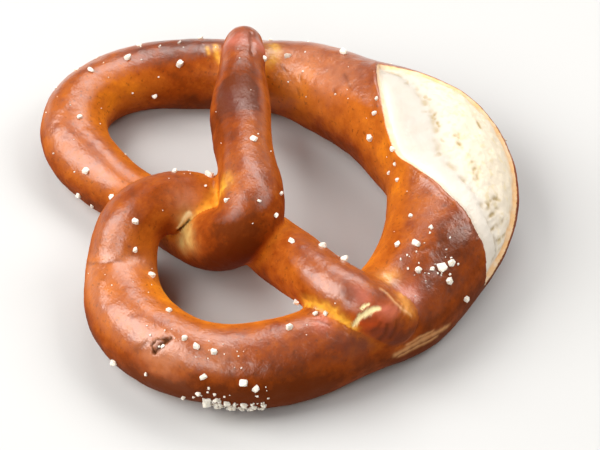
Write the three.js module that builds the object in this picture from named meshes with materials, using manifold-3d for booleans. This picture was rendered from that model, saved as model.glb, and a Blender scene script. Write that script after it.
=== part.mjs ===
// A soft pretzel with coarse salt.
//
// One rope of dough, thick at the belly and thin at its two tips, is laid in two loops, its arms
// are twisted once round each other, and the tips are pressed onto the belly's near shoulder and
// onto the far arm. Baking makes one solid of it, flat underneath, with a long cut that opened on
// the belly and grains of salt baked into the crust.
//
// Millimetres, +Z up. The origin is the middle of the pretzel's box at the height of its foot.
// The belly faces -Y, the near loop lies towards -X and the far loop towards +X.

import * as THREE from 'three';
import { mergeVertices } from 'three/addons/utils/BufferGeometryUtils.js';
import Module from 'manifold-3d';

// Thickness of the rope.
const BELLY = 42;
const NEAR_SHOULDER = 25.2;
const FAR_SHOULDER = 21.6;
const ARM = 19.2;
const NEAR_TIP = 15;
const FAR_TIP = 13.6;

// Places along the rope, measured from its near tip.
const BELLY_AT = 304; // the middle of the belly
const NEAR_SIDE_AT = 157; // the outermost bend of the near loop
const FAR_SIDE_AT = 470; // the outermost bend of the far loop
const HOOK_AT = 555.5; // the tight bend where the far arm turns back over the near one
const KNUCKLE_AT = 558; // the thickest place of that climb

// Reaches of the changes of thickness, as lengths along the rope.
const BELLY_SPREAD = 56;
const SHOULDER_END = 150;
const ARM_START = 205;
const NEAR_TAPER = 18;
const FAR_TAPER = 40;
const KNUCKLE_SPREAD = 16;
const KNUCKLE = 1.2; // how much thicker the rope is there

// The rope's middle stands at this share of its radius above its underside, which leaves the
// underside flat where it lay on the tray.
const REST = 0.85;

// Soft dough rounds the corners of its route: its middle is the mean of the places that lie these
// distances behind and ahead.
const EASING = [-6, -3, 0, 3, 6];

// On the inside of a tight bend the dough reaches this share of the way to the bend's middle, so
// that it creases and doesn't fold through itself.
const CREASE = 0.85;
const BEND_REACH = 3; // how far ahead and behind the bend is measured

// The rope's route from the near tip to the far tip: x, y and the height of its underside.
const ROUTE = [
  // The near tip on the belly's shoulder, and its arm.
  [-23.9, -68.6, 15], [-26.9, -59.6, 17.5], [-22.9, -40.6, 15], [-11.9, -17.6, 7],
  // The near arm's half of the twist: under the far arm, then over it.
  [-4.9, -2.6, 4], [-9.4, 8.9, 10], [-19.9, 18.9, 16.5], [-29.9, 23.9, 13.5],
  // The near loop.
  [-42.9, 19.4, 0], [-55.9, 7.4, 0], [-61.9, -11.6, 0], [-55.9, -31.6, 0], [-42.9, -46.6, 0],
  [-27.9, -55.1, 0],
  // The belly.
  [-11.9, -62.1, 0], [5.1, -63.1, 0], [22.1, -60.6, 0], [38.1, -53.6, 0], [47.6, -42.6, 0],
  [55.1, -26.6, 0],
  // The far loop.
  [58.1, -10.6, 0], [60.6, 3.9, 0], [60.1, 18.4, 0], [53.6, 33.9, 0], [45.6, 48.9, 0],
  [34.1, 64.4, 0], [17.1, 71.4, 0], [1.1, 65.4, 0], [-6.9, 50.4, 0],
  // The far arm's half of the twist: under the near arm, then over it.
  [-9.9, 33.4, 0], [-10.9, 19.4, 0], [-14.9, 7.4, 3], [-19.9, -1.6, 9], [-19.9, -9.1, 15],
  [-14.4, -11.1, 19], [-6.9, -7.1, 20.5], [2.1, -0.6, 19.5],
  // The far arm, and the far tip on the far loop.
  [19.1, 12.4, 18], [36.1, 22.4, 19], [53.5, 32.5, 20],
];

// The split in the crust: a leaf on the belly's top and outer side. Angles are in degrees round
// the rope, 0 on the outer side and 90 on top.
const SPLIT_NEAR = -35.5; // its near point, along the rope from the middle of the belly
const SPLIT_FAR = 43; // its far point
const SPLIT_NEAR_ANGLE = -11;
const SPLIT_FAR_ANGLE = 67;
const SPLIT_SPAN = 118; // its widest reach, from the outer edge over the top
const SPLIT_LEAN = 0.79; // below 1, the leaf is widest nearer its near point
const SPLIT_FULLNESS = 0.76; // below 1, its ends are blunter than a sine's
const SPLIT_END = 0.005; // the share of its length left off at each point
const SPLIT_DEPTH = 0.9; // the crumb lies this far below the crust
const SPLIT_LIP = 1.1; // and this much further along the inner edge
const SPLIT_LIP_POWER = 5; // how suddenly it deepens towards that edge
const SPLIT_CLEARANCE = 3; // what cuts it reaches this far above the crust

// Slow swellings of the hand-rolled rope.
const SWELL = 0.35;
const SWELL_LENGTH = 46;
const SWELL_DRIFT = 0.37; // a second, slower wave for each one of that length

// Grains of coarse salt. A grain's sides are shares of its size; the second and the third vary.
const GRAIN_LENGTH = 0.85;
const GRAIN_WIDTH = [0.65, 0.9];
const GRAIN_HEIGHT = [0.5, 0.75];
const GRAIN_SINK = 0.12; // its middle stands this share of its size above the crust
const GRAIN_SEED = 7;

// Where they sit: the length along the rope, the angle and the size. Salt fell thickly on the near
// loop's outer side and on the belly.
const GRAINS = [
  [415, 68, 1.5], [415, 115, 2.7], [425, 170, 1.8], [386, 44, 1.5], [629, 25, 1.8],
  [378, 98, 2.7], [361, 69, 2.4], [583, 78, 2.4], [99, 58, 2.1], [90, 62, 3], [561, 70, 1.5],
  [560, 132, 1.5], [334, 119, 1.5], [331, 132, 1.8], [327, 154, 2.4], [311, 144, 2.1],
  [301, 148, 1.5], [302, 160, 1.5], [290, 146, 1.5], [271, 115, 1.5], [268, 88, 1.5],
  [259, 112, 2.4], [261, 93, 3], [254, 74, 2.1], [257, 64, 1.5], [262, 52, 2.4], [259, 57, 3.2],
  [258, 41, 2.1], [260, 6, 2.1], [565, 28, 1.8], [560, 30, 1.8], [115, 123, 2.4], [124, 121, 2.1],
  [143, 138, 2.4], [167, 111, 1.8], [178, 77, 2.1], [182, 70, 2.4], [187, 67, 2.1],
  [173, 58, 1.5], [171, 7, 1.5], [161, -14, 2.4], [41, 94, 2.4], [34, 55, 2.7], [25, 45, 2.7],
  [32, 205, 2.1], [220, 103, 2.1], [18, 176, 1.5], [210, 96, 2.4], [498, 33, 2.1],
  [491, -19, 1.5], [486, 48, 2.4], [486, -13, 1.8], [185, 32, 2.4], [195, 28, 2.7],
  [198, 19, 2.4], [186, -16, 3], [189, -7, 1.5], [191, -10, 2.4], [192, -24, 2.8],
  [188, -27, 2.1], [195, -12, 2.4], [180, -20, 1.8], [197, -25, 2.1], [184, 3, 1.8],
];

// Stretches where a few more are scattered: from and to along the rope, the lowest and the highest
// angle, and the number of grains.
const SCATTER = [
  [300, 340, -12, 12, 3],
  [345, 395, -5, 40, 5],
  [395, 480, -5, 55, 9],
  [430, 475, 75, 130, 3],
];
const SCATTER_SIZE = [1.6, 2.8];
const SCATTER_RARITY = 1.5; // above 1, large grains are rarer than small ones
const SCATTER_GAP = 6; // least distance to another grain

// How finely the surfaces are divided.
const RING_STEP = 4.6;
const RING_SIDES = 24;
const TIP_RINGS = 4;
const SPLIT_LENGTHS = 20;
const SPLIT_WIDTHS = 9;
const LINE_DIVISIONS = 2400;
const SAME_POINT = 1e-5;

const CRUST = new THREE.MeshStandardMaterial({ color: 0x9c4a1e, roughness: 0.38, metalness: 0 });

const wasm = await Module();
wasm.setup();

const line = new THREE.CatmullRomCurve3(
  ROUTE.map((point) => new THREE.Vector3(...point)),
  false,
  'centripetal',
);
line.arcLengthDivisions = LINE_DIVISIONS;
const ROPE_LENGTH = line.getLength();

function smoothStep(start, end, value) {
  const share = THREE.MathUtils.clamp((value - start) / (end - start), 0, 1);
  return share * share * (3 - 2 * share);
}

// The rope's radius at a place along it.
function radiusAt(along) {
  const fromBelly = Math.abs(along - BELLY_AT);
  const shoulder = along < BELLY_AT ? NEAR_SHOULDER : FAR_SHOULDER;
  let thickness = shoulder - (shoulder - ARM) * smoothStep(SHOULDER_END, ARM_START, fromBelly);
  thickness += (BELLY - shoulder) * Math.exp(-((fromBelly / BELLY_SPREAD) ** 2));
  thickness += KNUCKLE * Math.exp(-(((along - KNUCKLE_AT) / KNUCKLE_SPREAD) ** 2));
  thickness -= (ARM - NEAR_TIP) * (1 - smoothStep(0, NEAR_TAPER, along));
  thickness -= (ARM - FAR_TIP) * (1 - smoothStep(0, FAR_TAPER, ROPE_LENGTH - along));
  return thickness / 2;
}

function routeAt(along) {
  const share = THREE.MathUtils.clamp(along / ROPE_LENGTH, 0, 1);
  const point = line.getPointAt(share);
  point.z = Math.max(point.z, 0) + REST * radiusAt(share * ROPE_LENGTH);
  return point;
}

function middleAt(along) {
  const middle = new THREE.Vector3();
  for (const distance of EASING) {
    middle.addScaledVector(routeAt(along + distance), 1 / EASING.length);
  }
  return middle;
}

// How the rope bends: a vector towards the bend's middle, as long as one over its radius.
function bendAt(along) {
  const bend = middleAt(along + BEND_REACH).add(middleAt(along - BEND_REACH));
  return bend.addScaledVector(middleAt(along), -2).divideScalar(BEND_REACH ** 2);
}

// A cross-section of the rope: its middle, its radius and the directions to its side and its top.
function sectionAt(along) {
  const behind = middleAt(along - 1);
  const ahead = middleAt(along + 1);
  const forward = ahead.sub(behind).normalize();
  const side = new THREE.Vector3().crossVectors(forward, new THREE.Vector3(0, 0, 1)).normalize();
  const top = new THREE.Vector3().crossVectors(side, forward);
  const bend = bendAt(along);
  return { along, middle: middleAt(along), radius: radiusAt(along), forward, side, top, bend };
}

function swellAt(along, angle) {
  const turn = (2 * Math.PI * along) / SWELL_LENGTH;
  return SWELL * (Math.sin(turn + 2 * angle) + Math.sin(SWELL_DRIFT * turn - angle));
}

// A point on the section, at an angle round it and a height above the plain round surface.
function surfacePoint(section, angle, height) {
  const outward = section.side.clone().multiplyScalar(Math.cos(angle));
  outward.addScaledVector(section.top, Math.sin(angle));
  const inward = outward.dot(section.bend);
  const limit = inward > 0 ? CREASE / inward : Infinity;
  const point = section.middle.clone();
  point.addScaledVector(outward, Math.min(section.radius + height, limit));
  point.z = Math.max(point.z, 0);
  return point;
}

function ringPoints(section) {
  const points = [];
  for (let i = 0; i < RING_SIDES; i += 1) {
    const angle = (2 * Math.PI * i) / RING_SIDES;
    points.push(surfacePoint(section, angle, swellAt(section.along, angle)));
  }
  return points;
}

// The sections of a round end, from beside the full one out to the smallest before the pole.
function tipSections(section, direction) {
  const sections = [];
  for (let i = 1; i <= TIP_RINGS; i += 1) {
    const angle = (Math.PI / 2) * (i / (TIP_RINGS + 0.5));
    const middle = section.middle.clone();
    middle.addScaledVector(section.forward, direction * section.radius * Math.sin(angle));
    sections.push({ ...section, middle, radius: section.radius * Math.cos(angle) });
  }
  return sections;
}

function poleOf(section, direction) {
  return section.middle.clone().addScaledVector(section.forward, direction * section.radius);
}

function solidFrom(points, triangles) {
  const geometry = new THREE.BufferGeometry();
  geometry.setAttribute('position', new THREE.Float32BufferAttribute(points.flatMap((p) => [...p]), 3));
  geometry.setIndex(triangles);
  return solidOf(geometry);
}

// A closed three.js geometry as a solid that can be joined and cut.
function solidOf(geometry) {
  const plain = geometry.clone();
  plain.deleteAttribute('normal');
  plain.deleteAttribute('uv');
  const merged = mergeVertices(plain, SAME_POINT);
  return new wasm.Manifold(
    new wasm.Mesh({
      numProp: 3,
      vertProperties: new Float32Array(merged.attributes.position.array),
      triVerts: new Uint32Array(merged.index.array),
    }),
  );
}

// A closed tube through the sections, with a fan of triangles to a point at each end.
function tube(sections, startPoint, endPoint) {
  const points = [startPoint];
  for (const section of sections) {
    points.push(...ringPoints(section));
  }
  points.push(endPoint);
  const corner = (ring, i) => 1 + ring * RING_SIDES + (i % RING_SIDES);
  const last = points.length - 1;
  const triangles = [];
  for (let i = 0; i < RING_SIDES; i += 1) {
    triangles.push(0, corner(0, i), corner(0, i + 1));
    triangles.push(last, corner(sections.length - 1, i + 1), corner(sections.length - 1, i));
    for (let ring = 0; ring < sections.length - 1; ring += 1) {
      triangles.push(corner(ring, i), corner(ring + 1, i + 1), corner(ring, i + 1));
      triangles.push(corner(ring, i), corner(ring + 1, i), corner(ring + 1, i + 1));
    }
  }
  return solidFrom(points, triangles);
}

function sectionsBetween(start, end) {
  const count = Math.round((end - start) / RING_STEP);
  return Array.from({ length: count + 1 }, (_, i) => sectionAt(start + ((end - start) * i) / count));
}

// The rope is made in stretches, none of which meets itself, and joined.
function rope() {
  const nearArm = sectionsBetween(0, NEAR_SIDE_AT);
  const belly = sectionsBetween(NEAR_SIDE_AT, FAR_SIDE_AT);
  const farFlank = sectionsBetween(FAR_SIDE_AT, HOOK_AT);
  const farArm = sectionsBetween(HOOK_AT, ROPE_LENGTH);
  const nearTip = tipSections(nearArm[0], -1).reverse();
  const farTip = tipSections(farArm.at(-1), 1);
  return tube([...nearTip, ...nearArm], poleOf(nearArm[0], -1), nearArm.at(-1).middle)
    .add(tube(belly, belly[0].middle, belly.at(-1).middle))
    .add(tube(farFlank, farFlank[0].middle, farFlank.at(-1).middle))
    .add(tube([...farArm, ...farTip], farArm[0].middle, poleOf(farArm.at(-1), 1)));
}

// The split's outer edge and its reach over the top from there, both in degrees, at a share of
// its length from the near point (0) to the far point (1).
function splitReach(lengthwise) {
  const leaf = Math.sin(Math.PI * lengthwise ** SPLIT_LEAN) ** SPLIT_FULLNESS;
  return {
    outer: SPLIT_NEAR_ANGLE + (SPLIT_FAR_ANGLE - SPLIT_NEAR_ANGLE) * lengthwise,
    span: SPLIT_SPAN * leaf,
  };
}

// A place in the split, lengthwise as above and across from its outer edge (0) to its inner (1).
function splitPlace(lengthwise, across) {
  const { outer, span } = splitReach(lengthwise);
  return {
    along: BELLY_AT + SPLIT_NEAR + (SPLIT_FAR - SPLIT_NEAR) * lengthwise,
    angle: THREE.MathUtils.degToRad(outer + span * across),
  };
}

// What the split takes from the crust: a leaf-shaped slab whose floor is the crumb.
function splitSlab() {
  const floor = [];
  const roof = [];
  for (let i = 0; i <= SPLIT_LENGTHS; i += 1) {
    const lengthwise = THREE.MathUtils.lerp(SPLIT_END, 1 - SPLIT_END, i / SPLIT_LENGTHS);
    for (let j = 0; j <= SPLIT_WIDTHS; j += 1) {
      const across = j / SPLIT_WIDTHS;
      const { along, angle } = splitPlace(lengthwise, across);
      const section = sectionAt(along);
      const depth = SPLIT_DEPTH + SPLIT_LIP * across ** SPLIT_LIP_POWER;
      floor.push(surfacePoint(section, angle, swellAt(along, angle) - depth));
      roof.push(surfacePoint(section, angle, SPLIT_CLEARANCE));
    }
  }
  const points = [...floor, ...roof];
  const row = SPLIT_WIDTHS + 1;
  const triangles = [];
  const quad = (a, b, c, d) => triangles.push(a, c, b, a, d, c);
  const above = floor.length;
  for (let i = 0; i < SPLIT_LENGTHS; i += 1) {
    for (let j = 0; j < SPLIT_WIDTHS; j += 1) {
      const a = i * row + j;
      quad(a, a + row, a + row + 1, a + 1);
      quad(above + a, above + a + 1, above + a + row + 1, above + a + row);
    }
    const outer = i * row;
    const inner = i * row + SPLIT_WIDTHS;
    quad(outer, above + outer, above + outer + row, outer + row);
    quad(inner, inner + row, above + inner + row, above + inner);
  }
  for (let j = 0; j < SPLIT_WIDTHS; j += 1) {
    const far = SPLIT_LENGTHS * row + j;
    quad(j, j + 1, above + j + 1, above + j);
    quad(far, above + far, above + far + 1, far + 1);
  }
  return solidFrom(points, triangles);
}

// Repeatable draws between 0 and 1, by the common linear congruential rule.
function drawsFrom(seed) {
  const multiplier = 1664525;
  const increment = 1013904223;
  const modulus = 2 ** 32;
  let state = seed;
  return () => {
    state = (state * multiplier + increment) % modulus;
    return state / modulus;
  };
}

function grainPlace(along, degrees, size) {
  const section = sectionAt(along);
  const angle = THREE.MathUtils.degToRad(degrees);
  const seat = surfacePoint(section, angle, swellAt(along, angle) + GRAIN_SINK * size);
  return { seat, size };
}

function grainPlaces() {
  const draw = drawsFrom(GRAIN_SEED);
  const places = GRAINS.map(([along, degrees, size]) => grainPlace(along, degrees, size));
  for (const [start, end, lowest, highest, count] of SCATTER) {
    const wanted = places.length + count;
    while (places.length < wanted) {
      const along = THREE.MathUtils.lerp(start, end, draw());
      const degrees = THREE.MathUtils.lerp(lowest, highest, draw());
      const size = THREE.MathUtils.lerp(...SCATTER_SIZE, draw() ** SCATTER_RARITY);
      const place = grainPlace(along, degrees, size);
      if (places.every((other) => other.seat.distanceTo(place.seat) > SCATTER_GAP)) {
        places.push(place);
      }
    }
  }
  return places;
}

// One grain: a chunky crystal, turned any way and half sunk in the crust.
function grain(place, draw) {
  const length = place.size * GRAIN_LENGTH;
  const width = place.size * THREE.MathUtils.lerp(...GRAIN_WIDTH, draw());
  const height = place.size * THREE.MathUtils.lerp(...GRAIN_HEIGHT, draw());
  const crystal = new THREE.BoxGeometry(length, width, height);
  crystal.rotateX(2 * Math.PI * draw());
  crystal.rotateZ(2 * Math.PI * draw());
  crystal.translate(place.seat.x, place.seat.y, place.seat.z);
  return solidOf(crystal);
}

function pretzel() {
  const draw = drawsFrom(GRAIN_SEED + 1);
  let solid = rope().subtract(splitSlab());
  for (const place of grainPlaces()) {
    solid = solid.add(grain(place, draw));
  }
  const { vertProperties, triVerts } = solid.getMesh();
  const geometry = new THREE.BufferGeometry();
  geometry.setAttribute('position', new THREE.Float32BufferAttribute(vertProperties, 3));
  geometry.setIndex(new THREE.Uint32BufferAttribute(triVerts, 1));
  const mesh = new THREE.Mesh(geometry, CRUST);
  mesh.name = 'pretzel';
  return mesh;
}

const model = new THREE.Group();
model.add(pretzel());

export default model;
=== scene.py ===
"""A soft pretzel with a glossy lye crust, a split belly and coarse salt.

The dough is one rope laid in two loops, twisted once round itself and baked into one piece. Its
route and thickness are those of the node "pretzel". Lengths are millimetres until a mesh is
finished, and metres on the mesh. Places on the rope are given as the length along it from its
near tip, and the angle round it: 0 on its outer side, 90 on top and 180 on its inner side.
"""

import math
from collections import namedtuple

import bmesh
import bpy
import numpy as np
from bpy.props import FloatProperty, FloatVectorProperty, PointerProperty
from mathutils import Matrix, Vector, kdtree, noise


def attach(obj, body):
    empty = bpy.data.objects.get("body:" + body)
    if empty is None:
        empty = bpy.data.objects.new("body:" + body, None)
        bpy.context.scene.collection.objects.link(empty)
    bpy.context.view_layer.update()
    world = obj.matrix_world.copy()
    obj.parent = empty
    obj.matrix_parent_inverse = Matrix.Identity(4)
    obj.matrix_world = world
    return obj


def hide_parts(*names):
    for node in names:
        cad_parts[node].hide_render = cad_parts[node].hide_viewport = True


bl_info = {
    "name": "Soft Pretzel",
    "version": (1, 0, 0),
    "blender": (4, 5, 0),
    "location": "3D View > Sidebar > Pretzel",
    "description": "Makes a salted soft pretzel and a plain stage for it",
    "category": "Mesh",
}

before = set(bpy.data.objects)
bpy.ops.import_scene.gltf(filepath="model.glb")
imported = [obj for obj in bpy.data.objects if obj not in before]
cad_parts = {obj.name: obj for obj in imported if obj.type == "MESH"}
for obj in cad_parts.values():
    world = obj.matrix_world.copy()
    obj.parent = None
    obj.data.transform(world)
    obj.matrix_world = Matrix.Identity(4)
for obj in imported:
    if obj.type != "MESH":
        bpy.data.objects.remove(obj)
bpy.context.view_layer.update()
MM = 0.001

# The rope's route from the near tip to the far tip: x, y and the height of its underside.
ROUTE = (
    # The near tip on the belly's shoulder, and its arm.
    (-23.9, -68.6, 15), (-26.9, -59.6, 17.5), (-22.9, -40.6, 15), (-11.9, -17.6, 7),
    # The near arm's half of the twist: under the far arm, then over it.
    (-4.9, -2.6, 4), (-9.4, 8.9, 10), (-19.9, 18.9, 16.5), (-29.9, 23.9, 13.5),
    # The near loop.
    (-42.9, 19.4, 0), (-55.9, 7.4, 0), (-61.9, -11.6, 0), (-55.9, -31.6, 0), (-42.9, -46.6, 0),
    (-27.9, -55.1, 0),
    # The belly.
    (-11.9, -62.1, 0), (5.1, -63.1, 0), (22.1, -60.6, 0), (38.1, -53.6, 0), (47.6, -42.6, 0),
    (55.1, -26.6, 0),
    # The far loop.
    (58.1, -10.6, 0), (60.6, 3.9, 0), (60.1, 18.4, 0), (53.6, 33.9, 0), (45.6, 48.9, 0),
    (34.1, 64.4, 0), (17.1, 71.4, 0), (1.1, 65.4, 0), (-6.9, 50.4, 0),
    # The far arm's half of the twist: under the near arm, then over it.
    (-9.9, 33.4, 0), (-10.9, 19.4, 0), (-14.9, 7.4, 3), (-19.9, -1.6, 9), (-19.9, -9.1, 15),
    (-14.4, -11.1, 19), (-6.9, -7.1, 20.5), (2.1, -0.6, 19.5),
    # The far arm, and the far tip on the far loop.
    (19.1, 12.4, 18), (36.1, 22.4, 19), (53.5, 32.5, 20),
)

# Places along the rope, and the reaches of its changes of thickness.
BELLY_AT = 304
BELLY_SPREAD = 56
SHOULDER_END = 150
ARM_START = 205
KNUCKLE_AT = 558
KNUCKLE_SPREAD = 16
NEAR_TAPER = 18
FAR_TAPER = 40

# Thicknesses. Those of the belly and the arms are settings.
NEAR_SHOULDER = 25.2
FAR_SHOULDER = 21.6
KNUCKLE = 1.2
NEAR_TIP = 15
FAR_TIP = 13.6

# The middle line's height over the rope's underside, in radii, and the steps that ease it.
REST = 0.85
EASING = (-6, -3, 0, 3, 6)

# Inside a bend, the share of the way to its centre that the skin keeps to, and the reach over
# which the bend is measured.
CREASE = 0.85
BEND_REACH = 3

# Places further apart than this along the rope lie on different strands.
STRANDS_APART = 45

# The slow swelling of a hand-rolled rope, and how its second wave drifts from the first.
SWELL = 0.35
SWELL_LENGTH = 46
SWELL_DRIFT = 0.37

# The split: a leaf from a near point to a far point, each a distance from the belly's middle.
SPLIT_NEAR = -35.5
SPLIT_FAR = 43
SPLIT_NEAR_ANGLE = -11
SPLIT_FAR_ANGLE = 67
SPLIT_SPAN = 118
LEAF_LEAN = 0.79
LEAF_FULLNESS = 0.76

# Salt grains: the length along the rope, the angle and the size.
GRAINS = (
    (415, 68, 1.5), (415, 115, 2.7), (425, 170, 1.8), (386, 44, 1.5), (629, 25, 1.8),
    (378, 98, 2.7), (361, 69, 2.4), (583, 78, 2.4), (99, 58, 2.1), (90, 62, 3), (561, 70, 1.5),
    (560, 132, 1.5), (334, 119, 1.5), (331, 132, 1.8), (327, 154, 2.4), (311, 144, 2.1),
    (301, 148, 1.5), (302, 160, 1.5), (290, 146, 1.5), (271, 115, 1.5), (268, 88, 1.5),
    (259, 112, 2.4), (261, 93, 3), (254, 74, 2.1), (257, 64, 1.5), (262, 52, 2.4), (259, 57, 3.2),
    (258, 41, 2.1), (260, 6, 2.1), (565, 28, 1.8), (560, 30, 1.8), (115, 123, 2.4),
    (124, 121, 2.1), (143, 138, 2.4), (167, 111, 1.8), (178, 77, 2.1), (182, 70, 2.4),
    (187, 67, 2.1), (173, 58, 1.5), (171, 7, 1.5), (161, -14, 2.4), (41, 94, 2.4), (34, 55, 2.7),
    (25, 45, 2.7), (32, 205, 2.1), (220, 103, 2.1), (18, 176, 1.5), (210, 96, 2.4),
    (498, 33, 2.1), (491, -19, 1.5), (486, 48, 2.4), (486, -13, 1.8), (185, 32, 2.4),
    (195, 28, 2.7), (198, 19, 2.4), (186, -16, 3), (189, -7, 1.5), (191, -10, 2.4),
    (192, -24, 2.8), (188, -27, 2.1), (195, -12, 2.4), (180, -20, 1.8), (197, -25, 2.1),
    (184, 3, 1.8),
)

# Stretches with a few more: from and to, the lowest and the highest angle, number of grains.
SCATTER = (
    (300, 340, -12, 12, 3), (345, 395, -5, 40, 5), (395, 480, -5, 55, 9), (430, 475, 75, 130, 3),
)
SCATTER_SIZE = (1.6, 2.8)
SCATTER_GAP = 6
GRAIN_SINK = 0.12
GRAIN_SEED = 7

# Fineness of the rope's rings and curve, and how often the skin is smoothed.
RING_STEP = 2.5
RING_SIDES = 48
TIP_RINGS = 8
CURVE_DIVISIONS = 2400
EVENING_ROUNDS = 4

# Where the skin is divided once more: this near to places on the split and along the strokes,
# and the number of places along the split, across it and on each part of a stroke.
FINE_REACH = 2.6
SPLIT_STEPS = 40
SPAN_STEPS = 30
STROKE_STEPS = 5

# How the skin is compared with the rope: the step along the rope, the vertices handled at a
# time, a distance that counts as far away, and the nearest that another strand shelters from.
SAMPLE_STEP = 1.0
BATCH = 6000
FAR_AWAY = 99.0
NEAREST = 4

# Points along each edge of the split, and how far along the rope from the belly's middle and
# from the middle of a stroke's part the skin is looked at.
EDGE_POINTS = 61
SPLIT_REACH = 60
STROKE_REACH = 22

Sections = namedtuple("Sections", "along middle forward side top bend radius")


def smooth_step(start, end, value):
    share = np.clip((value - start) / (end - start), 0, 1)
    return share * share * (3 - 2 * share)


def bump(value, middle, spread):
    """A smooth hill of height 1 at the middle."""
    return np.exp(-(((value - middle) / spread) ** 2))


def between(ends, share):
    """A value between a lowest and a highest one."""
    return ends[0] + (ends[1] - ends[0]) * share


def linear(red, green, blue):
    """A colour given in everyday 0 to 255 values, as the shader's linear ones."""
    shares = [channel / 255 for channel in (red, green, blue)]
    return [s / 12.92 if s <= 0.04045 else ((s + 0.055) / 1.055) ** 2.4 for s in shares]


def draws_from(seed):
    """Repeatable draws between 0 and 1."""
    state = seed
    while True:
        state = (state * 1664525 + 1013904223) % 4294967296
        yield state / 4294967296


# ==== The rope ====


class Rope:
    """The rope's middle line and thickness, found at any place along it."""

    def __init__(self, belly, arm):
        self.belly = belly
        self.arm = arm
        self.shares = np.linspace(0, 1, CURVE_DIVISIONS + 1)
        steps = np.linalg.norm(np.diff(self._curve(self.shares), axis=0), axis=1)
        self.lengths = np.concatenate(([0], np.cumsum(steps)))
        self.length = self.lengths[-1]

    def _curve(self, share):
        """A point on the centripetal curve through the stations; share runs from 0 to 1."""
        stations = np.array(ROUTE, float)
        padded = np.vstack((2 * stations[0] - stations[1], stations, 2 * stations[-1] - stations[-2]))
        place = np.clip(share, 0, 1) * (len(stations) - 1)
        piece = np.minimum(place.astype(int), len(stations) - 2)
        weight = (place - piece)[:, None]
        p0, p1, p2, p3 = (padded[piece + i] for i in range(4))
        gaps = [np.linalg.norm(b - a, axis=1)[:, None] ** 0.5 for a, b in ((p0, p1), (p1, p2), (p2, p3))]
        start = (p1 - p0) / gaps[0] - (p2 - p0) / (gaps[0] + gaps[1]) + (p2 - p1) / gaps[1]
        end = (p2 - p1) / gaps[1] - (p3 - p1) / (gaps[1] + gaps[2]) + (p3 - p2) / gaps[2]
        start *= gaps[1]
        end *= gaps[1]
        cubic = 2 * p1 - 2 * p2 + start + end
        square = -3 * p1 + 3 * p2 - 2 * start - end
        return ((cubic * weight + square) * weight + start) * weight + p1

    def radius(self, along):
        """Half the rope's thickness at these places."""
        along = np.asarray(along, float)
        from_belly = np.abs(along - BELLY_AT)
        shoulder = np.where(along < BELLY_AT, NEAR_SHOULDER, FAR_SHOULDER)
        thickness = shoulder - (shoulder - self.arm) * smooth_step(SHOULDER_END, ARM_START, from_belly)
        thickness += (self.belly - shoulder) * bump(from_belly, 0, BELLY_SPREAD)
        thickness += KNUCKLE * bump(along, KNUCKLE_AT, KNUCKLE_SPREAD)
        thickness -= (self.arm - NEAR_TIP) * (1 - smooth_step(0, NEAR_TAPER, along))
        thickness -= (self.arm - FAR_TIP) * (1 - smooth_step(0, FAR_TAPER, self.length - along))
        return thickness / 2

    def _route(self, along):
        along = np.clip(along, 0, self.length)
        points = self._curve(np.interp(along, self.lengths, self.shares))
        points[:, 2] = np.maximum(points[:, 2], 0) + REST * self.radius(along)
        return points

    def _middle(self, along):
        return sum(self._route(along + distance) for distance in EASING) / len(EASING)

    def sections(self, along):
        """The cross-sections at these places."""
        along = np.atleast_1d(np.asarray(along, float))
        middle = self._middle(along)
        forward = self._middle(along + 1) - self._middle(along - 1)
        forward /= np.linalg.norm(forward, axis=1)[:, None]
        side = np.cross(forward, (0, 0, 1))
        side /= np.linalg.norm(side, axis=1)[:, None]
        top = np.cross(side, forward)
        bend = self._middle(along + BEND_REACH) + self._middle(along - BEND_REACH) - 2 * middle
        return Sections(along, middle, forward, side, top, bend / BEND_REACH**2, self.radius(along))


def outline(sections, angle, height):
    """The points at these angles round the sections and heights above their plain surface."""
    outward = sections.side * np.cos(angle)[:, None] + sections.top * np.sin(angle)[:, None]
    inward = np.einsum("ij,ij->i", outward, sections.bend)
    limit = np.where(inward > 0, CREASE / np.maximum(inward, 1e-9), np.inf)
    points = sections.middle + outward * np.minimum(sections.radius + height, limit)[:, None]
    points[:, 2] = np.maximum(points[:, 2], 0)
    return points


def surface(rope, along, degrees, height=0.0):
    """The point at one place on the rope and a height above its plain surface."""
    return outline(rope.sections(along), np.radians([degrees]), np.array([height]))[0]


def swell(along, angle):
    """The rise and fall of the hand-rolled rope."""
    turn = 2 * np.pi * along / SWELL_LENGTH
    return SWELL * (np.sin(turn + 2 * angle) + np.sin(SWELL_DRIFT * turn - angle))


def split_along(share):
    """The place along the rope at a share of the split's length."""
    return BELLY_AT + SPLIT_NEAR + (SPLIT_FAR - SPLIT_NEAR) * share


def split_share(along):
    return np.clip((along - BELLY_AT - SPLIT_NEAR) / (SPLIT_FAR - SPLIT_NEAR), 0, 1)


def split_edges(along):
    """The split's outer edge and its span over the top, in degrees, at a place along the rope."""
    share = split_share(along)
    outer = SPLIT_NEAR_ANGLE + (SPLIT_FAR_ANGLE - SPLIT_NEAR_ANGLE) * share
    span = SPLIT_SPAN * np.maximum(np.sin(np.pi * share**LEAF_LEAN), 0) ** LEAF_FULLNESS
    return outer, span


def in_split(along, degrees):
    outer, span = split_edges(along)
    return SPLIT_NEAR < along - BELLY_AT < SPLIT_FAR and outer < degrees < outer + span


# ==== The dough's mesh ====


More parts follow.
